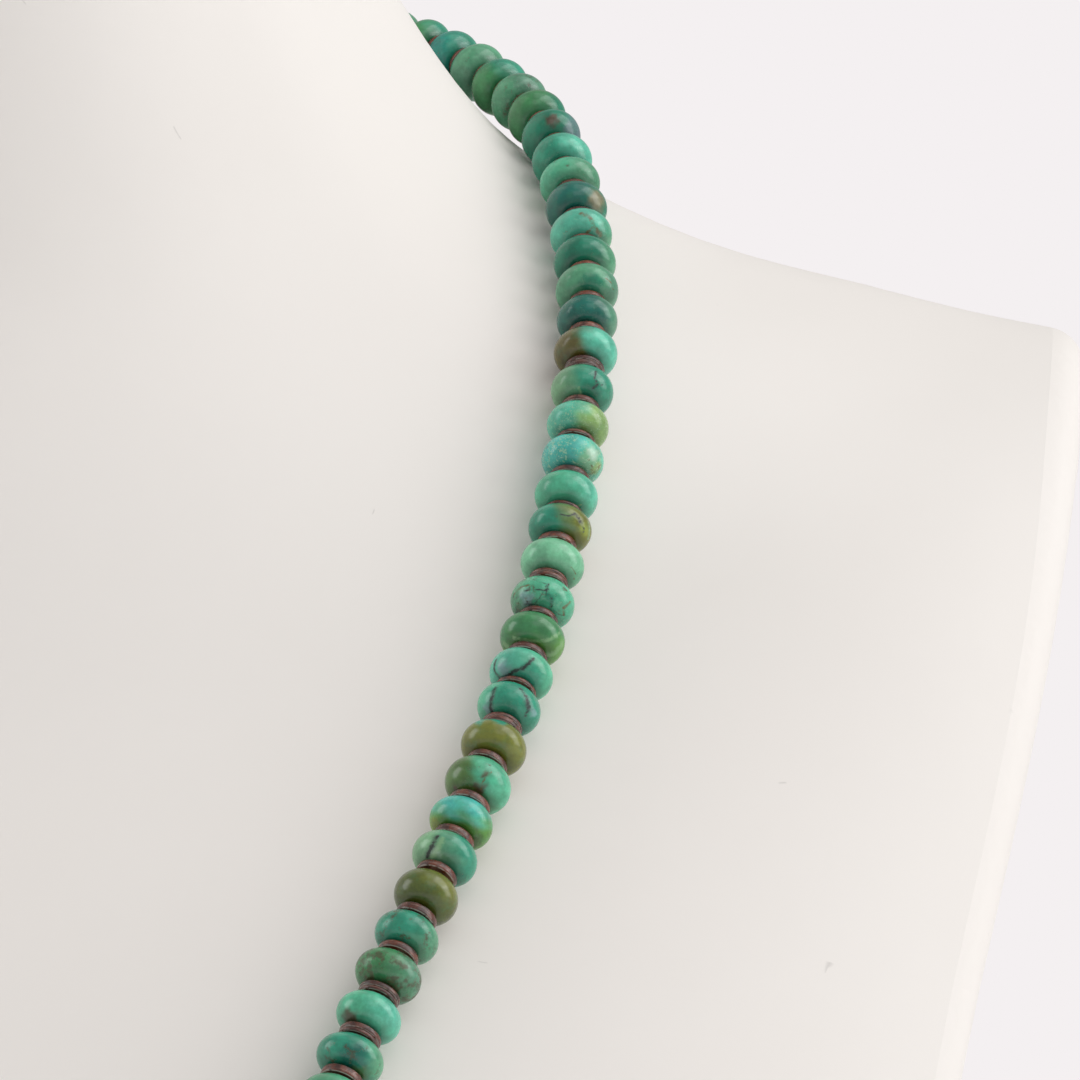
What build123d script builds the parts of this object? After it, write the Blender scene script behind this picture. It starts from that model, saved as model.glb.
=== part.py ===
from build123d import *

import math
import os

# Sizes in millimetres. X runs across the shoulders, -Y to the front of the chest, Z up.

# String of beads
bead_diameter = 5.85
bead_thickness = 3.5
bead_flat_diameter = 2.2
hole_diameter = 1.0
spacer_diameter = 3.8
spacer_thickness = 0.62
spacer_edge = 0.12
thread_diameter = 0.6
string_gap = 0.21

# Barrel clasp behind the neck
clasp_length = 14.0
clasp_diameter = 4.4
clasp_edge = 1.2
clasp_lead = 5.5
clasp_rise = 0.3
socket_depth = 3.0
socket_clearance = 0.15

# Stretch of the string at the front of the right shoulder, from the top down. Each row is a bead and the
# spacer below it, as shares of the plain bead's girth and thickness and of the plain spacer's thickness.
# The same stretch repeats round the whole string.
stretch_columns = ("girth", "bead", "spacer")
stretch_rows = (
    (1.00, 1.00, 1.0),
    (1.00, 1.02, 1.0),
    (1.01, 1.08, 1.0),
    (1.01, 1.02, 1.0),
    (1.00, 0.98, 1.0),
    (1.00, 1.06, 1.0),
    (1.01, 1.12, 1.0),
    (1.01, 1.06, 0.9),
    (1.00, 0.92, 1.1),
    (1.02, 1.06, 1.0),
    (1.02, 1.00, 0.9),
    (1.02, 0.98, 1.0),
    (1.03, 1.00, 1.0),
    (0.98, 0.96, 1.1),
    (1.02, 1.00, 1.9),
    (1.01, 1.02, 1.0),
    (0.99, 0.94, 0.6),
    (1.00, 1.04, 0.9),
    (1.01, 0.98, 0.6),
    (1.00, 0.88, 1.1),
    (1.00, 0.98, 1.5),
    (1.00, 1.02, 1.0),
    (1.02, 1.02, 1.1),
    (0.99, 0.96, 0.7),
    (0.98, 1.04, 1.7),
    (1.03, 0.94, 1.0),
    (1.02, 1.14, 1.1),
    (0.98, 0.88, 1.2),
    (1.01, 0.92, 1.1),
    (0.99, 1.10, 1.2),
    (0.98, 0.92, 1.1),
    (1.01, 0.98, 1.5),
    (0.98, 0.92, 1.6),
    (1.01, 0.90, 1.2),
    (1.00, 0.94, 1.0),
)
beads_above_stretch = 10

# Neck bust
bust_height = 245.0
neck_half_width = 36.5
shoulder_half_width = 113.5
neck_front_reach = 36.0
chest_reach = 128.0
neck_back_reach = 32.0
back_reach = 44.0
cut_edge = 4.0
neck_edge = 3.0
base_edge = 2.0

# The string lies on the bust with this gap. Its straight runs dip a little towards the bust between seats.
seat_gap = 0.35
run_dip = 0.35
seats_per_side = 24
arc_share = 0.49

# Rings around the bust, from above the neck's cut top to below its base. The spreads run from 0 at the
# neck to 1 at the shoulder, chest or back, and the heights are shares of the bust's height.
ring_columns = (
    "side_spread",
    "front_spread",
    "back_spread",
    "side_height",
    "front_height",
    "back_height",
    "fullness",
)
ring_rows = (
    (0.00, 0.00, 0.00, 1.030, 1.030, 1.030, 2.0),
    (0.01, 0.02, -0.08, 0.898, 0.898, 0.898, 2.0),
    (0.05, 0.05, -0.08, 0.804, 0.776, 0.816, 2.0),
    (0.14, 0.09, 0.00, 0.747, 0.698, 0.767, 2.0),
    (0.26, 0.14, 0.17, 0.700, 0.633, 0.718, 1.9),
    (0.46, 0.23, 0.50, 0.664, 0.571, 0.645, 1.8),
    (0.80, 0.38, 0.83, 0.633, 0.469, 0.571, 1.7),
    (1.14, 0.63, 1.00, 0.598, 0.363, 0.449, 1.8),
    (1.32, 0.96, 0.83, 0.367, 0.196, 0.245, 2.0),
    (1.27, 1.00, 0.50, -0.041, -0.041, -0.041, 2.2),
)
ring_fall = 1.5
ring_steps = 6
rings_between = 3
overlap_steps = 2

# The cut sides of the shoulders: width as a share of the shoulders' half, height as a share of the bust's.
cut_columns = ("width", "height")
cut_rows = (
    (1.050, 0.780),
    (0.958, 0.514),
    (0.898, 0.414),
    (0.850, 0.330),
    (0.826, 0.200),
    (0.830, -0.020),
)

# Route of the string over its right half, from the middle of the chest to the nape, before it is seated
# on the bust. The left half mirrors it.
string_route = (
    (0.0, -129.5, 52.0),
    (19.0, -125.5, 57.0),
    (31.7, -116.7, 67.2),
    (39.3, -105.5, 80.0),
    (43.6, -96.0, 89.8),
    (50.0, -84.3, 102.6),
    (55.9, -72.0, 114.9),
    (60.3, -58.9, 127.3),
    (63.0, -46.0, 140.0),
    (64.3, -33.0, 152.6),
    (63.3, -18.5, 163.6),
    (58.8, -2.5, 172.4),
    (50.2, 12.0, 179.2),
    (36.0, 26.0, 184.5),
    (20.0, 33.5, 187.0),
    (0.0, 36.0, 187.8),
)


def named(columns, rows):
    """Rows of a table as dictionaries."""
    return [dict(zip(columns, row)) for row in rows]


def spread(start, end, share):
    """A length between two named ones."""
    return start + (end - start) * share


def ring_points(ring):
    """Right half of a ring, from the front past the side to the back, with a little overlap at both ends."""
    side = spread(neck_half_width, shoulder_half_width, ring["side_spread"])
    front = spread(neck_front_reach, chest_reach, ring["front_spread"])
    back = spread(neck_back_reach, back_reach, ring["back_spread"])
    points = []
    for step in range(-overlap_steps, 2 * ring_steps + overlap_steps + 1):
        angle = math.pi * (step / (2 * ring_steps) - 0.5)
        across = abs(math.cos(angle)) ** (2 / ring["fullness"])
        along = abs(math.sin(angle)) ** (2 / ring["fullness"])
        to_front = math.sin(angle) < 0
        reach = -front if to_front else back
        end_height = ring["front_height"] if to_front else ring["back_height"]
        height = spread(ring["side_height"], end_height, along**ring_fall)
        x = math.copysign(across, math.cos(angle)) * side
        points.append(Vector(x, reach * along, height * bust_height))
    return points


def slopes(rings, gaps):
    """Direction in which the surface passes each ring, point by point."""
    steps = [[(b - a) / gap for a, b in zip(*pair)] for *pair, gap in zip(rings, rings[1:], gaps)]
    passing = [steps[0]]
    for before, after, gap, next_gap in zip(steps, steps[1:], gaps, gaps[1:]):
        passing.append([(a * next_gap + b * gap) / (gap + next_gap) for a, b in zip(before, after)])
    return passing + [steps[-1]]


def smooth_rings(rings):
    """The rings with more rings between them, on smooth curves through their points."""
    gaps = [max((b - a).length for a, b in zip(*pair)) for pair in zip(rings, rings[1:])]
    passing = slopes(rings, gaps)
    grid = []
    for index, gap in enumerate(gaps):
        for part in range(rings_between):
            t = part / rings_between
            start, end = 1 - 3 * t**2 + 2 * t**3, 3 * t**2 - 2 * t**3
            leave, arrive = gap * (t - 2 * t**2 + t**3), gap * (t**3 - t**2)
            columns = zip(rings[index], rings[index + 1], passing[index], passing[index + 1])
            grid.append([a * start + b * end + m * leave + n * arrive for a, b, m, n in columns])
    return grid + [rings[-1]]


def bust_form():
    """The neck with its eased top rim, and the chest and shoulders before the shoulders are cut."""
    grid = smooth_rings([ring_points(ring) for ring in named(ring_columns, ring_rows)])
    skin = Face.make_surface_from_array_of_points(grid, tol=0.1, smoothing=(1, 1, 1), max_deg=6)
    half_space = Box(
        2 * shoulder_half_width,
        2 * (chest_reach + back_reach),
        bust_height,
        align=(Align.MIN, Align.CENTER, Align.MIN),
    )
    inside_point = Vector(neck_half_width / 4, 0, bust_height / 2)
    pieces = [piece for piece in half_space.split(skin, keep=Keep.BOTH) if piece is not None]
    half = next(solid for piece in pieces for solid in piece.solids() if solid.is_inside(inside_point))
    top_edges = half.edges().group_by(Axis.Z)[-1]
    half = half.fillet(neck_edge, [edge for edge in top_edges if edge.center().X > neck_edge])
    return half + half.mirror(Plane.YZ)


def shoulder_outline():
    """Front outline between the cut sides, as a solid through the whole depth."""
    rows = named(cut_columns, cut_rows)
    right = [(row["width"] * shoulder_half_width, row["height"] * bust_height) for row in rows]
    left = [(-x, z) for x, z in right]
    top = 1.1 * bust_height
    sides = [Spline(*right), Spline(*reversed(left))]
    bottom = Line(right[-1], left[-1])
    crown = Polyline(left[0], (left[0][0], top), (right[0][0], top), right[0])
    depth = chest_reach + back_reach
    return extrude(Plane.XZ.offset(-depth) * make_face([*sides, bottom, crown]), 2 * depth)


def neck_bust():
    """Plain display bust with cut neck, cut shoulders and a flat base."""
    solid = (bust_form() & shoulder_outline()).solids()[0]
    narrowest = min(row["width"] for row in named(cut_columns, cut_rows)) * shoulder_half_width
    above_base = [edge for edge in solid.edges() if edge.center().Z > base_edge]
    solid = solid.fillet(cut_edge, [edge for edge in above_base if abs(edge.center().X) > narrowest])
    return solid.fillet(base_edge, solid.edges().group_by(Axis.Z)[0])


def seated(point, bust, rise=0.0):
    """The point moved straight from or to the bust's surface until a bead there has its gap."""
    foot = bust.shell().distance_to_with_closest_points(Vertex(point))[1]
    away = (point - foot).normalized()
    if bust.is_inside(point):
        away = -away
    return foot + away * (bead_diameter / 2 + seat_gap + run_dip + rise)


def string_seats(bust):
    """Corners of the string's path, from the clasp down the right side, round and up the left side."""
    right_points = [Vector(*point) for point in string_route]
    left_points = [Vector(-point.X, point.Y, point.Z) for point in reversed(right_points[1:-1])]
    route = Spline(*right_points, *left_points, periodic=True)
    nape = route.length / 2
    half_clasp_run = clasp_length / 2 + clasp_lead
    run = (nape - half_clasp_run) / (seats_per_side - 0.5)
    right = []
    for index in range(seats_per_side):
        along = nape - half_clasp_run - index * run
        point = route.position_at(along, position_mode=PositionMode.LENGTH)
        right.append(seated(point, bust, clasp_rise if index == 0 else 0.0))
    left = [Vector(-seat.X, seat.Y, seat.Z) for seat in reversed(right)]
    return right + left


def string_path(seats):
    """Straight runs through the seats with a tangent arc at each, from socket to socket of the clasp."""
    inner = clasp_length / 2 - socket_depth
    ends = [Vector(side * inner, seats[0].Y, seats[0].Z) for side in (1, -1)]
    corners = [ends[0], *seats, ends[1]]
    edges = []
    here = corners[0]
    for before, corner, after in zip(corners, corners[1:], corners[2:]):
        reach = arc_share * min((corner - before).length, (after - corner).length)
        arrive = corner + (before - corner).normalized() * reach
        leave = corner + (after - corner).normalized() * reach
        edges.append(Line(here, arrive))
        edges.append(TangentArc(arrive, leave, tangent=corner - before))
        here = leave
    edges.append(Line(here, corners[-1]))
    return Wire(edges)


def bead(thickness, diameter):
    """A rounded bead with flat ends, drilled along Z."""
    half = thickness / 2
    flat = bead_flat_diameter / 2
    hole = hole_diameter / 2
    side = ThreePointArc((flat, -half), (diameter / 2, 0), (flat, half))
    drilled = Polyline((flat, half), (hole, half), (hole, -half), (flat, -half))
    return revolve(Plane.XZ * make_face([side, drilled]), Axis.Z)


def spacer(thickness):
    """A thin disc with eased rims, drilled along Z."""
    disc = Cylinder(spacer_diameter / 2, thickness)
    disc = fillet(disc.edges(), spacer_edge)
    return disc - Cylinder(hole_diameter / 2, 2 * thickness)


def string_stack(room):
    """Kind, sizes and place of each bead and spacer along the string, which fills the room."""
    stretch = named(stretch_columns, stretch_rows)
    stack = []
    used = 0.0
    index = -beads_above_stretch
    while True:
        row = stretch[index % len(stretch)]
        thickness = row["bead"] * bead_thickness
        if used + thickness + 2 * string_gap > room:
            break
        stack.append(("bead", thickness, row["girth"] * bead_diameter))
        stack.append(("spacer", row["spacer"] * spacer_thickness, spacer_diameter))
        used += thickness + stack[-1][1] + 2 * string_gap
        index += 1
    stack.pop()
    gap = (room - sum(piece[1] for piece in stack)) / (len(stack) + 1)
    places = []
    along = gap
    for kind, thickness, diameter in stack:
        places.append((kind, thickness, diameter, along + thickness / 2))
        along += thickness + gap
    return places


def strung_pieces(path):
    """All beads and all spacers, threaded on the path."""
    made = {"bead": [], "spacer": []}
    for kind, thickness, diameter, along in string_stack(path.length - 2 * socket_depth):
        spot = socket_depth + along
        centre = path.position_at(spot, position_mode=PositionMode.LENGTH)
        axis = path.tangent_at(spot, position_mode=PositionMode.LENGTH)
        shape = bead(thickness, diameter) if kind == "bead" else spacer(thickness)
        made[kind].append(Plane(origin=centre, z_dir=axis) * shape)
    return Compound(made["bead"]), Compound(made["spacer"])


def thread(path):
    """The thread through the whole string, with both ends in the clasp."""
    section = Plane(origin=path @ 0, z_dir=path % 0) * Circle(thread_diameter / 2)
    return sweep(section, path=path)


def clasp(seat):
    """Plain barrel along X with a blind socket for the thread in each end."""
    barrel = fillet(Cylinder(clasp_diameter / 2, clasp_length).edges(), clasp_edge)
    depth = socket_depth + socket_clearance
    for end in (-1, 1):
        middle = end * (clasp_length - depth) / 2
        barrel -= Pos(0, 0, middle) * Cylinder(thread_diameter / 2 + socket_clearance, depth)
    return Plane(origin=(0, seat.Y, seat.Z), z_dir=(1, 0, 0)) * barrel


def necklace_on_bust():
    """Every piece by its name, with the middle of the base at the origin."""
    bust = neck_bust()
    seats = string_seats(bust)
    path = string_path(seats)
    beads, spacers = strung_pieces(path)
    pieces = {
        "neck_bust": bust,
        "turquoise_beads": beads,
        "shell_spacers": spacers,
        "thread": thread(path),
        "clasp": clasp(seats[0]),
    }
    middle = Compound(list(pieces.values())).bounding_box().center()
    return {name: Pos(-middle.X, -middle.Y, 0) * shape for name, shape in pieces.items()}


os.makedirs("parts", exist_ok=True)
for name, shape in necklace_on_bust().items():
    export_step(shape, f"parts/{name}.step")
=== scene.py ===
import math
import random

import bpy
import numpy as np
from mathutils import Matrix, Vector


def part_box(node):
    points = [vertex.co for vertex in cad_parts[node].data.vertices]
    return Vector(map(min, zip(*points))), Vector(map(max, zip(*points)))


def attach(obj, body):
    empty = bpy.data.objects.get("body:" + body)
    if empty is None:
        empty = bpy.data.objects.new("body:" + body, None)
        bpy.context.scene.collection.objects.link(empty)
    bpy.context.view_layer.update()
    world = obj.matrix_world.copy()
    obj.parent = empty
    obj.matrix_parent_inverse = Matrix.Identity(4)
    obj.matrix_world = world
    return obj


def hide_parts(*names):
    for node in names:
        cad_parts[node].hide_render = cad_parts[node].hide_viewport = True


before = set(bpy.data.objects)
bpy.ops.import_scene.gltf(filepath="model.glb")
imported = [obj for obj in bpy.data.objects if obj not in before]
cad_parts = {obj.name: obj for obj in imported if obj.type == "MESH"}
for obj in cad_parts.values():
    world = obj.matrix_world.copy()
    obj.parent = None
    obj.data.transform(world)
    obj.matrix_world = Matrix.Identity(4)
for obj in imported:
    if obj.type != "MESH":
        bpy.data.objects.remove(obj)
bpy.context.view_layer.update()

MM = 0.001
PIXELS = 1080

# Camera in the part's frame, in millimetres and degrees, with its focal length in pixels of the frame.
CAMERA_AT = (60.0, -622.9, 154.4)
CAMERA_DOWN = 2.0
FOCAL_PIXELS = 6665.0
SENSOR_WIDTH = 36.0

# Soft lights around the string. Each turns to the right from the front and rises in degrees, with its
# width and height in metres.
LIT_POINT = (40.0, -40.0, 140.0)
LIGHT_DISTANCE = 1.1
LIGHT_COLUMNS = ("name", "turn", "rise", "width", "height", "watts")
LIGHT_ROWS = (
    ("window", 81, 43, 0.9, 0.9, 4.5),
    ("window_low", 80, 12, 0.55, 0.75, 2.7),
    ("top", 95, 70, 0.8, 0.8, 1.25),
    ("front", 20, 45, 0.6, 0.6, 0.78),
    ("left_box", -90, 19, 0.5, 0.8, 2.75),
)
WORLD_STRENGTH = 0.47
BACKGROUND = (0.957, 0.941, 0.945)
FLOOR_RADIUS = 0.62
FLOOR_COLOUR = (0.93, 0.92, 0.92, 1.0)

# Directions on the front of the part: across to the right, up, and out towards the front.
ACROSS = np.array((1.0, 0.0, 0.0))
UP = np.array((0.0, 0.0, 1.0))
OUT = np.array((0.0, -1.0, 0.0))

# Mesh density, shape and irregularity of the beads and spacers, in millimetres, degrees and shares
CHARTED_SEGMENTS = 72
CHARTED_ARC_STEPS = 24
PLAIN_SEGMENTS = 40
PLAIN_ARC_STEPS = 12
SPACER_SEGMENTS = 44
HOLE_RADIUS = 0.5
HOLE_LIP = 0.12
BEAD_FLAT_RADIUS = 1.10
BEAD_FLAT_INSET = 0.2
BEAD_FLAT_SWELL = 0.005
BEAD_WOBBLE = 0.012
TILT = 1.2
SPACER_GROOVE = 0.05
DOUBLE_SPACER = 0.86
SPACER_EDGE = 0.11
SPACER_WOBBLE = 0.006

# Seeds of the chance in each bead and spacer, and how far it shifts their patterns in millimetres
BEAD_SEED = 700
SPACER_SEED = 300
PATTERN_RANGE = 90

# How much further than the nearest point a hole's rim lies from the middle, as a factor and in millimetres
RIM_FACTOR = 1.03
RIM_MARGIN = 0.03

# How dark a bead is at its drilled ends, partly grime and partly painted shade where it meets its spacers,
# and how strong and ragged its spots are
END_GRIME_AND_SHADE = 0.35
SPOT_SHARE = 0.85
SPOT_RAGGED = 0.08

# More than any distance on a bead, for points with no vein nearby
FAR = 9.0

# Waves in the border between a bead's two tones: size and wave across and up, in bead radii and in radians
# per bead radius, and how many times the bead's chance phase shifts the wave
BORDER_WAVES = (
    (0.12, 1.7, 5.1, 1),
    (0.08, 9.0, 3.0, 0),
    (0.05, 6.0, 17.0, 2),
)

# The first bead that shows at the top of the front stretch, counted from the clasp
FIRST_CHARTED = 10

# Stone tones by name, as red, green and blue on the screen's scale
TONES = {
    "aqua": (0.33, 0.72, 0.61),
    "sky": (0.27, 0.71, 0.66),
    "mint": (0.30, 0.69, 0.54),
    "pale_mint": (0.45, 0.73, 0.57),
    "teal": (0.14, 0.55, 0.44),
    "blue_teal": (0.05, 0.49, 0.46),
    "deep_teal": (0.00, 0.39, 0.34),
    "emerald": (0.03, 0.47, 0.36),
    "green": (0.22, 0.50, 0.30),
    "leaf": (0.34, 0.57, 0.22),
    "meadow": (0.51, 0.65, 0.37),
    "sage": (0.32, 0.60, 0.45),
    "grey_green": (0.31, 0.53, 0.42),
    "slate": (0.36, 0.49, 0.50),
    "mist": (0.50, 0.64, 0.65),
    "yellow_green": (0.56, 0.67, 0.41),
    "olive": (0.43, 0.45, 0.15),
    "dark_olive": (0.29, 0.34, 0.10),
    "olive_brown": (0.37, 0.34, 0.14),
    "moss": (0.30, 0.44, 0.20),
    "ochre": (0.55, 0.60, 0.22),
    "tan": (0.54, 0.50, 0.38),
    "brown": (0.33, 0.20, 0.13),
    "haze": (0.46, 0.66, 0.49),
    "pale": (0.66, 0.78, 0.70),
}

# Tones inside the materials, on the same scale
SHADES = {
    "green_drift": (0.20, 0.52, 0.36),
    "pale_vein": (0.56, 0.72, 0.52),
    "dark_rust": (0.15, 0.15, 0.08),
    "light_rust": (0.35, 0.30, 0.15),
    "brown_vein": (0.40, 0.30, 0.13),
    "smoke": (0.16, 0.27, 0.25),
    "matrix": (0.05, 0.065, 0.065),
    "speck": (0.68, 0.81, 0.66),
    "maroon_shell": (0.25, 0.10, 0.075),
    "copper_shell": (0.52, 0.25, 0.15),
    "shell_layer": (0.62, 0.49, 0.44),
    "dark_shell": (0.15, 0.085, 0.07),
    # Light rim tone of the shell discs, partly rubbed wear and partly a painted highlight
    "rubbed_and_highlit_rim": (0.80, 0.76, 0.73),
    "dark_thread": (0.20, 0.14, 0.11),
    "light_thread": (0.38, 0.29, 0.23),
    "silver": (0.84, 0.83, 0.80),
    "tarnish": (0.46, 0.42, 0.37),
    "casting": (0.930, 0.908, 0.888),
    "light_casting": (0.936, 0.915, 0.896),
    "dust": (0.55, 0.53, 0.51),
    "scuff": (0.62, 0.60, 0.58),
}

# Beads of the front stretch from the top down. Each turns from its tone to its second tone along an angle
# (0 to the right, 90 up), at a place and over a width in bead radii. Its veins, mottles and specks run
# from 0 to 1.
BEAD_COLUMNS = ("tone", "second", "angle", "place", "width", "veins", "mottles", "specks")
BEAD_ROWS = (
    ("green", "teal", 0, 0.2, 0.5, 0.0, 0.1, 0.0),
    ("blue_teal", "teal", 0, -0.2, 0.6, 0.0, 0.1, 0.0),
    ("grey_green", "sage", 90, 0.2, 0.6, 0.1, 0.2, 0.0),
    ("green", "teal", 45, 0.3, 0.6, 0.0, 0.1, 0.0),
    ("sage", "grey_green", 20, 0.2, 0.5, 0.2, 0.6, 0.1),
    ("green", "emerald", -30, 0.2, 0.6, 0.0, 0.2, 0.0),
    ("emerald", "slate", 20, 0.75, 0.3, 0.1, 0.2, 0.0),
    ("teal", "aqua", 20, 0.3, 0.5, 0.0, 0.0, 0.1),
    ("sage", "mint", 150, 0.3, 0.6, 0.1, 0.4, 0.1),
    ("deep_teal", "emerald", -20, 0.3, 0.6, 0.0, 0.1, 0.0),
    ("aqua", "sage", -30, 0.5, 0.5, 0.1, 0.2, 0.2),
    ("emerald", "sage", 0, 0.5, 0.4, 0.0, 0.1, 0.0),
    ("sage", "grey_green", 0, 0.7, 0.4, 0.1, 0.1, 0.1),
    ("deep_teal", "grey_green", 0, 0.6, 0.4, 0.1, 0.2, 0.1),
    ("olive_brown", "aqua", 10, 0.05, 0.35, 0.0, 0.1, 0.0),
    ("haze", "teal", -5, -0.30, 0.50, 0.0, 0.0, 0.1),
    ("aqua", "meadow", -15, 0.0, 0.40, 0.0, 0.0, 0.7),
    ("sky", "aqua", -25, 0.2, 0.5, 0.1, 0.2, 1.0),
    ("mint", "aqua", 0, 0.6, 0.8, 0.0, 0.0, 0.0),
    ("teal", "olive", -5, 0.05, 0.45, 0.1, 0.1, 0.0),
    ("pale_mint", "sage", -60, 0.5, 0.6, 0.0, 0.0, 0.0),
    ("mint", "sage", 200, 0.2, 0.5, 0.6, 0.5, 0.3),
    ("green", "leaf", -92, 0.05, 0.3, 0.0, 0.0, 0.0),
    ("aqua", "mint", 0, 0.2, 0.5, 0.1, 0.0, 0.0),
    ("mint", "teal", 0, -0.5, 0.3, 0.1, 0.0, 0.1),
    ("teal", "olive", -90, -0.93, 0.05, 0.0, 0.1, 0.0),
    ("moss", "mint", 20, 0.10, 0.3, 0.0, 0.35, 0.0),
    ("sky", "leaf", -104, -0.32, 0.32, 0.0, 0.1, 0.1),
    ("haze", "teal", -8, 0.05, 0.6, 0.0, 0.1, 0.0),
    ("dark_olive", "olive", 30, 0.6, 0.6, 0.0, 0.0, 0.0),
    ("teal", "sage", -30, 0.3, 0.6, 0.1, 0.58, 0.0),
    ("green", "grey_green", 0, 0.4, 0.6, 0.1, 0.90, 0.1),
    ("mint", "aqua", 0, 0.3, 0.6, 0.0, 0.0, 0.0),
    ("teal", "sage", 0, 0.55, 0.4, 0.1, 0.40, 0.0),
    ("sage", "mint", 0, 0.3, 0.6, 0.0, 0.1, 0.0),
)

# Single marks on charted beads, counted from 1 at the top, at places across and up from the bead's middle
# in bead radii. Dark, brown and pale veins have a width in millimetres, and spots a tone and a radius.
DARK_VEINS = (
    (16, 0.12, ((0.46, 0.66), (0.40, 0.46), (0.46, 0.26), (0.32, 0.10))),
    (16, 0.08, ((0.46, 0.26), (0.60, 0.24))),
    (20, 0.15, ((0.44, 0.52), (0.56, 0.40), (0.66, 0.26))),
    (20, 0.09, ((0.66, 0.26), (0.76, 0.10), (0.74, -0.08))),
    (20, 0.07, ((0.44, 0.52), (0.24, 0.46), (0.04, 0.52))),
    (22, 0.09, ((0.20, 0.66), (0.10, 0.40), (0.30, 0.20), (0.26, -0.10))),
    (22, 0.07, ((-0.80, 0.20), (-0.50, 0.45), (-0.10, 0.50), (0.10, 0.40))),
    (23, 0.06, ((-0.60, -0.42), (-0.10, -0.34), (0.50, -0.52))),
    (24, 0.18, ((0.37, 0.56), (0.27, 0.40), (0.10, 0.30), (-0.22, 0.20), (-0.44, 0.04), (-0.60, -0.07))),
    (24, 0.14, ((-0.80, 0.50), (-0.83, 0.20), (-0.70, -0.03), (-0.60, -0.07))),
    (25, 0.18, ((-0.40, 0.70), (-0.56, 0.42), (-0.60, 0.12), (-0.48, -0.16))),
    (25, 0.14, ((0.32, 0.68), (0.56, 0.44), (0.62, 0.15), (0.50, -0.18))),
    (25, 0.26, ((0.60, 0.32), (0.62, 0.14))),
    (29, 0.20, ((-0.22, 0.70), (-0.36, 0.46), (-0.48, 0.28), (-0.54, 0.10))),
)
BROWN_VEINS = (
    (11, 0.22, ((0.02, 0.72), (0.34, 0.62), (0.42, 0.30), (0.62, 0.02))),
    (11, 0.14, ((0.42, 0.30), (0.16, 0.16))),
    (13, 0.08, ((0.60, 0.46), (0.74, 0.28), (0.86, 0.06))),
    (18, 0.14, ((0.20, -0.50), (0.56, -0.42), (0.86, -0.14))),
    (18, 0.10, ((0.56, -0.42), (0.62, -0.16), (0.50, 0.06))),
    (21, 0.07, ((0.60, -0.02), (0.74, -0.20), (0.66, -0.42))),
    (22, 0.14, ((0.86, 0.10), (0.60, -0.10), (0.70, -0.35))),
    (22, 0.12, ((-0.90, 0.30), (-0.70, 0.50), (-0.40, 0.62))),
    (27, 0.10, ((0.42, 0.42), (0.20, 0.22), (0.06, -0.06))),
)
PALE_VEINS = (
    (16, 0.12, ((-0.12, -0.22), (-0.06, 0.02), (-0.14, 0.18))),
    (19, 0.10, ((-0.40, -0.28), (0.10, -0.30), (0.44, -0.24))),
    (20, 0.13, ((0.90, 0.26), (0.95, 0.02), (0.88, -0.24))),
    (23, 0.30, ((-0.84, -0.16), (-0.40, -0.36), (0.14, -0.44), (0.62, -0.40), (0.90, -0.12))),
    (23, 0.16, ((-0.60, 0.10), (-0.10, 0.02), (0.50, 0.06), (0.80, 0.24))),
    (29, 0.24, ((-0.10, 0.62), (-0.24, 0.36), (-0.38, 0.12))),
)
SPOTS = (
    (7, "brown", 0.05, 0.62, 0.26),
    (7, "slate", 0.72, 0.30, 0.34),
    (10, "tan", 0.74, 0.28, 0.42),
    (13, "emerald", 0.20, 0.25, 0.42),
    (16, "emerald", 0.24, 0.12, 0.36),
    (18, "haze", 0.56, 0.02, 0.50),
    (18, "yellow_green", 0.72, -0.26, 0.26),
    (18, "pale", 0.66, 0.22, 0.24),
    (20, "ochre", 0.78, -0.02, 0.24),
    (22, "emerald", 0.20, 0.20, 0.22),
    (22, "mist", -0.50, 0.22, 0.28),
    (24, "teal", 0.22, -0.08, 0.50),
    (24, "mist", -0.54, 0.26, 0.26),
    (25, "mist", -0.66, 0.10, 0.18),
    (25, "mist", 0.72, -0.06, 0.16),
    (27, "brown", 0.08, 0.00, 0.21),
    (27, "brown", 0.28, 0.36, 0.12),
    (27, "brown", -0.72, 0.00, 0.09),
    (28, "ochre", -0.78, -0.10, 0.38),
    (28, "moss", 0.45, -0.55, 0.34),
    (29, "pale", -0.28, 0.24, 0.20),
    (33, "brown", -0.54, 0.06, 0.32),
    (34, "deep_teal", 0.12, 0.14, 0.50),
    (34, "moss", 0.26, -0.34, 0.30),
)

# Shell tones of the spacers below the charted beads, from dark maroon at 0 to copper at 1
SPACER_COPPER = (
    0.5, 0.4, 0.4, 0.5, 0.5, 0.3, 0.5, 0.5, 0.3, 0.2,
    0.5, 0.9, 0.6, 0.9, 0.1, 0.3, 0.5, 0.4, 0.3, 0.9,
    0.4, 0.3, 0.2, 0.5, 0.4, 0.4, 0.6, 0.5, 0.5, 0.3,
    0.5, 0.2, 0.3, 0.5, 0.4,
)


def linear(tone):
    """A screen colour as a linear one."""
    return np.array([c / 12.92 if c <= 0.04045 else ((c + 0.055) / 1.055) ** 2.4 for c in tone])


def shade(name):
    """A tone inside a material as a linear colour."""
    return linear(SHADES[name])


def smooth(low, high, value):
    """0 below low, 1 above high and a smooth turn between them."""
    share = np.clip((value - low) / (high - low), 0.0, 1.0)
    return share * share * (3.0 - 2.0 * share)


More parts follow.
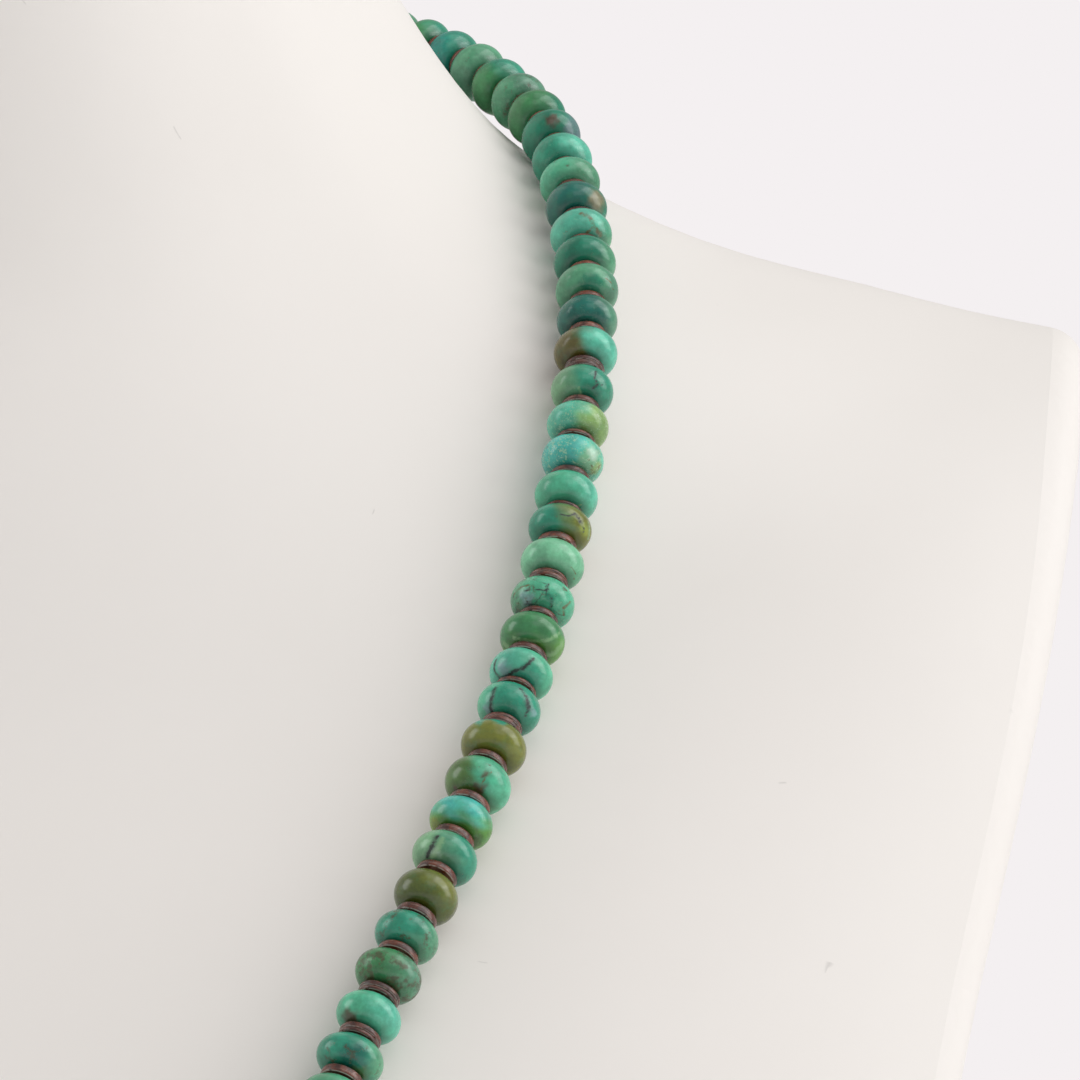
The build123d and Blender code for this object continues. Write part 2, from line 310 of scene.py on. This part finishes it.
def loose_parts(node):
    """The points of each separate solid of a CAD node, in millimetres."""
    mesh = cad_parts[node].data
    points = np.empty(len(mesh.vertices) * 3)
    mesh.vertices.foreach_get("co", points)
    points = points.reshape(-1, 3) / MM
    edges = np.empty(len(mesh.edges) * 2, dtype=np.int64)
    mesh.edges.foreach_get("vertices", edges)
    places, welded = np.unique(np.round(points, 4), axis=0, return_inverse=True)
    ends = welded.reshape(-1)[edges.reshape(-1, 2)]
    label = np.arange(len(places))
    changed = True
    while changed:
        lowest = np.minimum(label[ends[:, 0]], label[ends[:, 1]])
        before = label.copy()
        np.minimum.at(label, ends[:, 0], lowest)
        np.minimum.at(label, ends[:, 1], lowest)
        label = label[label]
        changed = bool((label != before).any())
    return [places[label == one] for one in np.unique(label)]


def round_part(points):
    """Middle, axis, thickness and radius of a drilled bead or disc, read from the two rims of its hole."""
    reach = np.linalg.norm(points - (points.max(0) + points.min(0)) / 2, axis=1)
    rims = points[reach < RIM_FACTOR * reach.min() + RIM_MARGIN]
    middle = rims.mean(0)
    rims = rims - middle
    offsets = points - middle
    turns = np.concatenate([np.linalg.eigh(part.T @ part)[1].T for part in (rims, offsets)])
    axis = min(turns, key=lambda turn: np.ptp(np.linalg.norm(np.cross(rims, turn), axis=1)))
    along = offsets @ axis
    radial = np.linalg.norm(offsets - np.outer(along, axis), axis=1)
    return {"middle": middle, "axis": axis, "thickness": np.ptp(along), "radius": radial.max()}


def in_string_order(parts):
    """The parts from the clasp's right end round the string, with each axis pointing back to the clasp."""
    low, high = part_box("clasp")
    here = np.array((high.x, (low.y + high.y) / 2, (low.z + high.z) / 2)) / MM
    left = list(parts)
    ordered = []
    while left:
        nearest = min(left, key=lambda part: np.linalg.norm(part["middle"] - here))
        left = [part for part in left if part is not nearest]
        if (here - nearest["middle"]) @ nearest["axis"] < 0:
            nearest["axis"] = -nearest["axis"]
        ordered.append(nearest)
        here = nearest["middle"]
    return ordered


def bead_profile(radius, half, steps):
    """Closed outline of a bead from its hole out over the rounded side and back, as radii and heights."""
    flat = BEAD_FLAT_RADIUS
    centre = (radius**2 - flat**2 - half**2) / (2 * (radius - flat))
    bend = radius - centre
    reach = math.atan2(half, flat - centre)
    angles = np.linspace(-reach, reach, steps)
    side = [(centre + bend * math.cos(a), bend * math.sin(a)) for a in angles]
    lip, inner, swell = HOLE_RADIUS + HOLE_LIP, flat - BEAD_FLAT_INSET, half + BEAD_FLAT_SWELL
    bottom = [(lip, -half), (inner, -swell)]
    top = [(inner, swell), (lip, half)]
    bore = [(HOLE_RADIUS, half - HOLE_LIP), (HOLE_RADIUS, 0.0), (HOLE_RADIUS, HOLE_LIP - half)]
    return np.array(bottom + side + top + bore)


def disc_profile(radius, half):
    """Closed outline of one thin disc with worn rims."""
    edge = min(SPACER_EDGE, half * 0.7)
    rim = [
        (radius - edge, -half),
        (radius - 0.3 * edge, -half + 0.3 * edge),
        (radius, -half + edge),
        (radius * 1.004, 0.0),
        (radius, half - edge),
        (radius - 0.3 * edge, half - 0.3 * edge),
        (radius - edge, half),
    ]
    halfway = (HOLE_RADIUS + radius) / 2
    bore = [(HOLE_RADIUS, half), (HOLE_RADIUS, 0.0), (HOLE_RADIUS, -half)]
    return np.array(rim + [(halfway, half)] + bore + [(halfway, -half)])


def axes_of(part):
    """Right, out and string directions of a part, with the right one across the front where it can be."""
    axis = part["axis"]
    out = OUT - axis * (OUT @ axis)
    if np.linalg.norm(out) < 0.2:
        out = UP - axis * (UP @ axis)
    out = out / np.linalg.norm(out)
    return np.cross(out, axis), out, axis


def tilted(directions, chance):
    """The directions turned together by a small chance angle."""
    right, out, axis = directions
    lean = math.radians(TILT)
    axis = axis + right * chance.uniform(-lean, lean) + out * chance.uniform(-lean, lean)
    axis = axis / np.linalg.norm(axis)
    out = out - axis * (out @ axis)
    out = out / np.linalg.norm(out)
    return np.cross(out, axis), out, axis


def lathe(profile, segments, directions, wobble, chance):
    """Points and quads of a profile turned round an axis, a little out of round and of uneven thickness."""
    right, out, axis = directions
    turn = np.linspace(0, 2 * math.pi, segments, endpoint=False)
    # The last phase and size are spare, drawn only to keep the order of the draws
    phase = [chance.uniform(0, 2 * math.pi) for _ in range(4)]
    size = [chance.uniform(0.4, 1.0) * wobble for _ in range(4)]
    rough = 1 + size[0] * np.cos(2 * turn + phase[0]) + 0.6 * size[1] * np.cos(3 * turn + phase[1])
    rough = rough + 0.5 * wobble
    lift = 1 + 1.5 * size[2] * np.cos(turn + phase[2]) - 1.5 * wobble
    radii, heights = profile[:, :1], profile[:, 1:]
    radius = radii * np.where(radii > 1.01 * HOLE_RADIUS, rough, 1.0)
    height = heights * lift
    points = (
        (radius * np.cos(turn))[..., None] * right
        + (radius * np.sin(turn))[..., None] * out
        + height[..., None] * axis
    )
    rows = len(profile)
    i, j = np.meshgrid(np.arange(rows), np.arange(segments), indexing="ij")
    i, j = i.ravel(), j.ravel()
    here, below, beside = i * segments, (i + 1) % rows * segments, (j + 1) % segments
    quads = np.stack([here + j, here + beside, below + beside, below + j], axis=1)
    return points.reshape(-1, 3), quads


def joined(name, built):
    """One smooth mesh object from many built parts with their point attributes."""
    points, quads, count = [], [], 0
    for part in built:
        points.append(part["points"])
        quads.append(part["quads"] + count)
        count += len(part["points"])
    points = np.concatenate(points) * MM
    quads = np.concatenate(quads)
    mesh = bpy.data.meshes.new(name)
    mesh.vertices.add(len(points))
    mesh.vertices.foreach_set("co", points.ravel())
    mesh.loops.add(quads.size)
    mesh.loops.foreach_set("vertex_index", quads.ravel().astype(np.int32))
    mesh.polygons.add(len(quads))
    mesh.polygons.foreach_set("loop_start", np.arange(0, quads.size, 4, dtype=np.int32))
    mesh.update(calc_edges=True)
    mesh.validate()
    mesh.polygons.foreach_set("use_smooth", np.ones(len(mesh.polygons), dtype=bool))
    for key, kind, field in (("tone", "FLOAT_COLOR", "color"), ("marks", "FLOAT_COLOR", "color"),
                             ("grain", "FLOAT_VECTOR", "vector"), ("lines", "FLOAT_VECTOR", "vector")):
        if key in built[0]:
            values = np.concatenate([part[key] for part in built]).astype(np.float32)
            mesh.attributes.new(key, kind, "POINT").data.foreach_set(field, values.ravel())
    piece = bpy.data.objects.new(name, mesh)
    bpy.context.collection.objects.link(piece)
    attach(piece, "root")
    return piece


def to_stroke(points, stroke):
    """Distance of each point from a stroke through points of the surface."""
    nearest = np.full(len(points), FAR)
    for start, end in zip(stroke, stroke[1:]):
        run = end - start
        share = np.clip((points - start) @ run / max(run @ run, 1e-9), 0, 1)
        nearest = np.minimum(nearest, np.linalg.norm(points - start - share[:, None] * run, axis=1))
    return nearest


def on_front(points, radius, place):
    """The bead's front point at a place given across and up in bead radii."""
    across, up, out = points @ ACROSS / radius, points @ UP / radius, points @ OUT / radius
    miss = (across - place[0]) ** 2 + (up - place[1]) ** 2 + np.where(out > 0, 0.0, FAR)
    return points[miss.argmin()]


def with_alpha(colours):
    """Colours with a last channel of 1."""
    return np.concatenate([colours, np.ones((len(colours), 1))], axis=1)


def pattern_shift(chance):
    """A chance shift, so that each part shows another place of the pattern."""
    return np.array([chance.uniform(-PATTERN_RANGE, PATTERN_RANGE) for _ in range(3)])


def bead_attributes(points, axis, half, radius, row, number, chance):
    """Tone, marks, grain coordinates and distances to charted veins for each point of a bead."""
    across, up = points @ ACROSS / radius, points @ UP / radius
    angle = math.radians(row["angle"])
    phase = chance.uniform(0, 6)
    border = sum(size * np.sin(x * across + z * up + part * phase) for size, x, z, part in BORDER_WAVES)
    along = across * math.cos(angle) + up * math.sin(angle) + border
    share = smooth(row["place"] - row["width"], row["place"] + row["width"], along)[:, None]
    tone = linear(TONES[row["tone"]]) * (1 - share) + linear(TONES[row["second"]]) * share
    for bead, name, x, z, size in SPOTS:
        if bead == number:
            away = np.linalg.norm(points - on_front(points, radius, (x, z)), axis=1) / radius
            away = away + SPOT_RAGGED * np.sin(17 * across) * np.sin(15 * up)
            spot = SPOT_SHARE * (1 - smooth(size * 0.5, size * 1.2, away))[:, None]
            tone = tone * (1 - spot) + linear(TONES[name]) * spot
    # Darker towards the drilled ends: grime, and painted shade where the bead meets its spacers
    tone = tone * (1 - END_GRIME_AND_SHADE * smooth(0.60, 1.0, np.abs(points @ axis) / half))[:, None]
    lines = np.full((len(points), 3), FAR)
    for kind, veins in enumerate((DARK_VEINS, BROWN_VEINS, PALE_VEINS)):
        for bead, width, places in veins:
            if bead == number:
                stroke = [on_front(points, radius, place) for place in places]
                lines[:, kind] = np.minimum(lines[:, kind], to_stroke(points, stroke) / width)
    marks = np.tile((row["veins"], row["mottles"], row["specks"]), (len(points), 1))
    return {
        "tone": with_alpha(tone),
        "marks": with_alpha(marks),
        "grain": points + pattern_shift(chance),
        "lines": np.minimum(lines, FAR),
    }


def chance_row(chance):
    """Looks of a bead outside the charted stretch, like those of a charted one."""
    row = dict(zip(BEAD_COLUMNS, chance.choice(BEAD_ROWS)))
    row["angle"] = chance.uniform(0, 360)
    row["veins"] = chance.choice((0.0, 0.1, 0.2, 0.5, 0.9))
    row["mottles"] = chance.choice((0.0, 0.1, 0.3, 0.6))
    return row


def build_beads(parts):
    """Charted and plain beads in the places of the CAD beads."""
    charted, plain = [], []
    for index, part in enumerate(parts):
        chance = random.Random(BEAD_SEED + index)
        number = index - FIRST_CHARTED + 1
        is_charted = 1 <= number <= len(BEAD_ROWS)
        row = dict(zip(BEAD_COLUMNS, BEAD_ROWS[number - 1])) if is_charted else chance_row(chance)
        steps = CHARTED_ARC_STEPS if is_charted else PLAIN_ARC_STEPS
        segments = CHARTED_SEGMENTS if is_charted else PLAIN_SEGMENTS
        radius, half = part["radius"], part["thickness"] / 2
        directions = tilted(axes_of(part), chance)
        profile = bead_profile(radius, half, steps)
        points, quads = lathe(profile, segments, directions, BEAD_WOBBLE, chance)
        built = bead_attributes(points, directions[2], half, radius, row, number, chance)
        built["points"] = points + part["middle"]
        built["quads"] = quads
        (charted if is_charted else plain).append(built)
    return (
        joined("charted_turquoise_beads", charted),
        joined("other_turquoise_beads", plain),
    )


def build_spacers(parts):
    """Shell discs in the places of the CAD spacers, the thick ones as two discs."""
    built = []
    for index, part in enumerate(parts):
        chance = random.Random(SPACER_SEED + index)
        number = index - FIRST_CHARTED
        copper = SPACER_COPPER[number] if 0 <= number < len(SPACER_COPPER) else chance.uniform(0.1, 0.9)
        directions = tilted(axes_of(part), chance)
        right, out, axis = directions
        half = part["thickness"] / 2
        discs = [(0.0, half)]
        if part["thickness"] > DOUBLE_SPACER:
            share = chance.uniform(0.42, 0.58)
            discs = [
                (-half + half * share, half * share - SPACER_GROOVE / 2),
                (half - half * (1 - share), half * (1 - share) - SPACER_GROOVE / 2),
            ]
        for place, half_disc in discs:
            radius = part["radius"] * chance.uniform(0.96, 1.0)
            profile = disc_profile(radius, half_disc)
            points, quads = lathe(profile, SPACER_SEGMENTS, directions, SPACER_WOBBLE, chance)
            edge = np.abs(points @ axis) / half_disc
            rim = np.linalg.norm(points - np.outer(points @ axis, axis), axis=1) / radius
            marks = np.stack([np.full(len(points), copper), edge, rim], axis=1)
            local = np.stack([points @ right, points @ out, points @ axis], axis=1)
            built.append({
                "points": points + part["middle"] + axis * place,
                "quads": quads,
                "marks": with_alpha(marks),
                "grain": local + pattern_shift(chance),
            })
    return joined("shell_spacer_discs", built)


class Nodes:
    """Short ways to build a node material."""

    def __init__(self, name):
        self.material = bpy.data.materials.new(name)
        self.material.use_nodes = True
        self.tree = self.material.node_tree
        self.shader = self.tree.nodes["Principled BSDF"]

    def add(self, kind, values=None, **settings):
        """A new node with its settings, and its inputs set or linked."""
        node = self.tree.nodes.new(kind)
        for key, value in settings.items():
            setattr(node, key, value)
        for key, value in (values or {}).items():
            if isinstance(value, bpy.types.NodeSocket):
                self.tree.links.new(value, node.inputs[key])
            else:
                node.inputs[key].default_value = value
        return node

    def attribute(self, name):
        return self.add("ShaderNodeAttribute", attribute_name=name)

    def noise(self, vector, scale, detail=4.0, roughness=0.55):
        values = {"Vector": vector, "Scale": scale, "Detail": detail, "Roughness": roughness}
        return self.add("ShaderNodeTexNoise", values).outputs["Fac"]

    def math(self, operation, first, second=0.0, third=0.0):
        return self.add("ShaderNodeMath", {0: first, 1: second, 2: third}, operation=operation).outputs[0]

    def vector(self, operation, values):
        return self.add("ShaderNodeVectorMath", values, operation=operation).outputs[0]

    def between(self, value, low, high, start=0.0, end=1.0):
        """A smooth turn from start at low to end at high."""
        values = {"Value": value, "From Min": low, "From Max": high, "To Min": start, "To Max": end}
        return self.add("ShaderNodeMapRange", values, interpolation_type="SMOOTHSTEP").outputs["Result"]

    def mix(self, share, first, second):
        """The first colour turned to the second by a share."""
        node = self.add("ShaderNodeMix", data_type="RGBA")
        for index, value in ((0, share), (6, first), (7, second)):
            if isinstance(value, bpy.types.NodeSocket):
                self.tree.links.new(value, node.inputs[index])
            elif isinstance(value, float):
                node.inputs[index].default_value = value
            else:
                node.inputs[index].default_value = (*value, 1.0)
        return node.outputs[2]

    def bump(self, height, strength, distance):
        values = {"Height": height, "Strength": strength, "Distance": distance}
        return self.add("ShaderNodeBump", values).outputs["Normal"]

    def set(self, **values):
        """Gives the shader its values and links, named as its sockets."""
        for key, value in values.items():
            socket = self.shader.inputs[key.replace("_", " ")]
            if isinstance(value, bpy.types.NodeSocket):
                self.tree.links.new(value, socket)
            else:
                socket.default_value = value


def turquoise_material():
    """Polished turquoise with its own tones, dark matrix veins, brown mottles and pale specks."""
    n = Nodes("turquoise")
    grain = n.attribute("grain").outputs["Vector"]
    tone = n.attribute("tone").outputs["Color"]
    marks = n.add("ShaderNodeSeparateColor", {"Color": n.attribute("marks").outputs["Color"]})
    lines = n.add("ShaderNodeSeparateXYZ", {"Vector": n.attribute("lines").outputs["Vector"]})
    veins, mottles, specks = (marks.outputs[i] for i in range(3))
    cloud = n.noise(grain, 0.55, 5.0, 0.6)
    fine = n.noise(grain, 3.2, 6.0, 0.65)
    broad = n.between(cloud, 0.28, 0.72, 0.80, 1.26)
    depth = n.math("MULTIPLY", broad, n.between(fine, 0.3, 0.7, 0.93, 1.07))
    colour = n.vector("SCALE", {0: tone, "Scale": depth})
    drift = n.between(n.noise(grain, 0.9, 4.0), 0.48, 0.72, 0.0, 0.22)
    colour = n.mix(drift, colour, shade("green_drift"))

    warp = n.add("ShaderNodeTexNoise", {"Vector": grain, "Scale": 1.1, "Detail": 3.0})
    warped = n.vector("ADD", {0: grain, 1: warp.outputs["Color"]})
    cells = n.add("ShaderNodeTexVoronoi", {"Vector": warped, "Scale": 0.52}, feature="DISTANCE_TO_EDGE")
    broken = n.between(n.noise(grain, 0.8, 3.0), 0.42, 0.56)
    net = n.between(cells.outputs["Distance"], 0.006, 0.050, 0.9, 0.0)
    net = n.math("MULTIPLY", n.math("MULTIPLY", net, broken), n.between(veins, 0.05, 0.8))
    jitter = n.math("MULTIPLY_ADD", n.noise(grain, 3.6, 6.0, 0.75), 3.2, -1.6)
    dark_line = n.between(n.math("ADD", lines.outputs["X"], jitter), 0.35, 1.25, 0.95, 0.0)
    smoke = n.between(n.math("ADD", lines.outputs["X"], jitter), 0.8, 2.4, 0.34, 0.0)
    brown_line = n.between(n.math("ADD", lines.outputs["Y"], jitter), 0.4, 1.5, 0.80, 0.0)
    brown_line = n.math("MULTIPLY", brown_line, n.between(n.noise(grain, 1.9, 4.0), 0.40, 0.54, 0.5, 1.0))
    pale_line = n.between(n.math("ADD", lines.outputs["Z"], jitter), 0.3, 1.8, 0.55, 0.0)
    colour = n.mix(pale_line, colour, shade("pale_vein"))

    blotch = n.noise(grain, 1.05, 6.0, 0.68)
    threshold = n.math("MULTIPLY_ADD", mottles, -0.22, 0.70)
    brown = n.math("MULTIPLY", n.between(n.math("SUBTRACT", blotch, threshold), -0.03, 0.09), 0.78)
    rust = n.mix(n.noise(grain, 4.0), shade("dark_rust"), shade("light_rust"))
    colour = n.mix(brown, colour, rust)
    colour = n.mix(brown_line, colour, shade("brown_vein"))
    colour = n.mix(smoke, colour, shade("smoke"))
    matrix = n.math("MAXIMUM", net, dark_line)
    colour = n.mix(n.math("MULTIPLY", matrix, 0.96), colour, shade("matrix"))

    where = n.between(n.math("MULTIPLY_ADD", specks, 0.08, n.noise(grain, 1.5, 3.0)), 0.48, 0.60)
    for scale, low in ((3.4, 0.56), (7.0, 0.55)):
        dot = n.between(n.noise(grain, scale, 2.0, 0.5), low, low + 0.09)
        dot = n.math("MULTIPLY", n.math("MULTIPLY", dot, where), n.math("MULTIPLY", specks, 0.5))
        colour = n.mix(dot, colour, shade("speck"))

    pits = n.between(n.noise(grain, 7.0, 3.0), 0.62, 0.74)
    height = n.math("SUBTRACT", n.math("MULTIPLY", fine, 0.25), n.math("MAXIMUM", matrix, brown))
    height = n.math("SUBTRACT", height, n.math("MULTIPLY", pits, 0.3))
    rough = n.math("MULTIPLY_ADD", n.math("MAXIMUM", matrix, brown), 0.25, 0.19)
    rough = n.math("MULTIPLY_ADD", n.between(fine, 0.35, 0.7), 0.07, rough)
    n.set(Base_Color=colour, Roughness=rough, Normal=n.bump(height, 0.25, 0.00004), IOR=1.62)
    return n.material


def shell_material():
    """Thin brown shell with layered edges, a pinkish sheen and light silvery rims, partly rubbed wear and
    partly a painted highlight.
    """
    n = Nodes("shell")
    grain = n.attribute("grain").outputs["Vector"]
    marks = n.add("ShaderNodeSeparateColor", {"Color": n.attribute("marks").outputs["Color"]})
    copper, edge, rim = (marks.outputs[i] for i in range(3))
    layers = n.add("ShaderNodeMapping", {"Vector": grain, "Scale": (0.5, 0.5, 9.0)}).outputs[0]
    strata = n.noise(layers, 1.0, 5.0, 0.6)
    patches = n.noise(grain, 1.3, 4.0, 0.6)
    base = n.mix(copper, shade("maroon_shell"), shade("copper_shell"))
    base = n.mix(n.between(strata, 0.48, 0.62, 0.0, 0.42), base, shade("shell_layer"))
    base = n.mix(n.between(patches, 0.42, 0.62, 0.0, 0.75), base, shade("dark_shell"))
    # Lighter silvery rims round the disc edges: partly rubbed wear, partly a painted highlight along the
    # rim
    rim_rub_and_highlight = n.math("MULTIPLY", n.between(edge, 0.80, 0.98), n.between(rim, 0.90, 0.97))
    rim_rub_and_highlight = n.math("MULTIPLY", rim_rub_and_highlight, n.between(n.noise(grain, 1.6, 3.0), 0.34, 0.52))
    base = n.mix(n.math("MULTIPLY", rim_rub_and_highlight, 0.9), base, shade("rubbed_and_highlit_rim"))
    height = n.math("ADD", n.math("MULTIPLY", strata, 0.7), n.math("MULTIPLY", patches, 0.3))
    rough = n.between(patches, 0.3, 0.7, 0.17, 0.34)
    n.set(Base_Color=base, Roughness=rough, Normal=n.bump(height, 0.5, 0.00006), IOR=1.60)
    return n.material


def thread_material():
    """Dark twisted beading thread."""
    n = Nodes("thread")
    where = n.add("ShaderNodeTexCoord").outputs["Object"]
    waves = {"Vector": where, "Scale": 900.0, "Distortion": 1.5}
    twist = n.add("ShaderNodeTexWave", waves, bands_direction="DIAGONAL").outputs["Fac"]
    colour = n.mix(twist, shade("dark_thread"), shade("light_thread"))
    n.set(Base_Color=colour, Roughness=0.75, Normal=n.bump(twist, 0.6, 0.00005))
    return n.material


def clasp_material():
    """Satin silver with fine turning marks and a little tarnish."""
    n = Nodes("clasp_silver")
    where = n.add("ShaderNodeTexCoord").outputs["Object"]
    rings = n.add("ShaderNodeMapping", {"Vector": where, "Scale": (9000.0, 120.0, 120.0)}).outputs[0]
    marks = n.noise(rings, 1.0, 3.0)
    tarnish = n.between(n.noise(where, 420.0, 5.0), 0.45, 0.72)
    colour = n.mix(n.math("MULTIPLY", tarnish, 0.6), shade("silver"), shade("tarnish"))
    rough = n.math("MULTIPLY_ADD", marks, 0.2, 0.18)
    n.set(Base_Color=colour, Roughness=rough, Metallic=1.0, Normal=n.bump(marks, 0.15, 0.00002))
    return n.material


def bust_material():
    """Matte white casting with a faint mottle, a few dust specks and hairline scuffs."""
    n = Nodes("bust_white")
    where = n.add("ShaderNodeTexCoord").outputs["Object"]
    mottle = n.between(n.noise(where, 18.0, 4.0), 0.35, 0.65)
    colour = n.mix(mottle, shade("casting"), shade("light_casting"))
    dots = n.add("ShaderNodeTexVoronoi", {"Vector": where, "Scale": 95.0, "Randomness": 1.0})
    dot = n.between(dots.outputs["Distance"], 0.012, 0.035, 1.0, 0.0)
    chosen = n.between(n.noise(where, 45.0, 2.0), 0.60, 0.66)
    dot = n.math("MULTIPLY", n.math("MULTIPLY", dot, chosen), 0.5)
    colour = n.mix(dot, colour, shade("dust"))
    bent = n.add("ShaderNodeTexNoise", {"Vector": where, "Scale": 60.0, "Detail": 2.0}).outputs["Color"]
    bent = n.vector("MULTIPLY", {0: bent, 1: (0.012, 0.012, 0.012)})
    bent = n.vector("ADD", {0: where, 1: bent})
    hairs = n.add("ShaderNodeTexVoronoi", {"Vector": bent, "Scale": 70.0}, feature="DISTANCE_TO_EDGE")
    hair = n.between(hairs.outputs["Distance"], 0.0, 0.008, 1.0, 0.0)
    few = n.between(n.noise(where, 300.0, 2.0), 0.70, 0.74)
    hair = n.math("MULTIPLY", n.math("MULTIPLY", hair, few), 0.30)
    colour = n.mix(hair, colour, shade("scuff"))
    grain = n.noise(where, 2600.0, 3.0)
    n.set(Base_Color=colour, Roughness=0.62, Normal=n.bump(grain, 0.08, 0.00003))
    return n.material


def paint(piece, material):
    """Every slot of the piece gets the material."""
    if not piece.data.materials:
        piece.data.materials.append(material)
    for slot in piece.material_slots:
        slot.material = material


def add_camera():
    """The camera in front of the string, looking slightly down."""
    data = bpy.data.cameras.new("camera")
    data.sensor_width = SENSOR_WIDTH
    data.lens = FOCAL_PIXELS / PIXELS * SENSOR_WIDTH
    data.clip_start = 0.05
    data.clip_end = 20.0
    camera = bpy.data.objects.new("camera", data)
    camera.location = Vector(CAMERA_AT) * MM
    camera.rotation_euler = (math.radians(90.0 - CAMERA_DOWN), 0.0, 0.0)
    bpy.context.collection.objects.link(camera)
    bpy.context.scene.camera = camera


def add_light(row):
    """A soft rectangular light that faces the string."""
    data = bpy.data.lights.new(row["name"], "AREA")
    data.shape = "RECTANGLE"
    data.size = row["width"]
    data.size_y = row["height"]
    data.energy = row["watts"]
    light = bpy.data.objects.new(row["name"], data)
    turn, rise = math.radians(row["turn"]), math.radians(row["rise"])
    towards = Vector((math.sin(turn) * math.cos(rise), -math.cos(turn) * math.cos(rise), math.sin(rise)))
    light.location = Vector(LIT_POINT) * MM + towards * LIGHT_DISTANCE
    light.rotation_euler = (-towards).to_track_quat("-Z", "Y").to_euler()
    bpy.context.collection.objects.link(light)


def add_studio():
    """Pale floor, soft lights, and surroundings that look pale and light the part less."""
    bpy.ops.mesh.primitive_circle_add(
        vertices=128, radius=FLOOR_RADIUS, fill_type="NGON", location=(0, 0, 0)
    )
    floor = bpy.context.object
    floor.name = "studio_floor"
    n = Nodes("studio_floor")
    n.set(Base_Color=FLOOR_COLOUR, Roughness=0.9)
    floor.data.materials.append(n.material)
    for row in LIGHT_ROWS:
        add_light(dict(zip(LIGHT_COLUMNS, row)))
    world = bpy.data.worlds.new("studio")
    world.use_nodes = True
    bpy.context.scene.world = world
    tree = world.node_tree
    seen = tree.nodes["Background"]
    seen.inputs["Color"].default_value = (*linear(BACKGROUND), 1.0)
    lighting = tree.nodes.new("ShaderNodeBackground")
    lighting.inputs["Color"].default_value = (1.0, 1.0, 1.0, 1.0)
    lighting.inputs["Strength"].default_value = WORLD_STRENGTH
    path = tree.nodes.new("ShaderNodeLightPath")
    choice = tree.nodes.new("ShaderNodeMixShader")
    tree.links.new(path.outputs["Is Camera Ray"], choice.inputs[0])
    tree.links.new(lighting.outputs[0], choice.inputs[1])
    tree.links.new(seen.outputs[0], choice.inputs[2])
    tree.links.new(choice.outputs[0], tree.nodes["World Output"].inputs["Surface"])
    bpy.context.scene.view_settings.view_transform = "Standard"
    bpy.context.scene.view_settings.look = "None"


def build_necklace():
    """Dresses the string, thread, clasp and bust."""
    turquoise = turquoise_material()
    beads = in_string_order([round_part(points) for points in loose_parts("turquoise_beads")])
    for piece in build_beads(beads):
        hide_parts("turquoise_beads")
        paint(piece, turquoise)
    spacers = in_string_order([round_part(points) for points in loose_parts("shell_spacers")])
    discs = build_spacers(spacers)
    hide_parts("shell_spacers")
    paint(discs, shell_material())
    paint(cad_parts["thread"], thread_material())
    paint(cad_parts["clasp"], clasp_material())
    paint(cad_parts["neck_bust"], bust_material())


add_camera()
add_studio()
build_necklace()
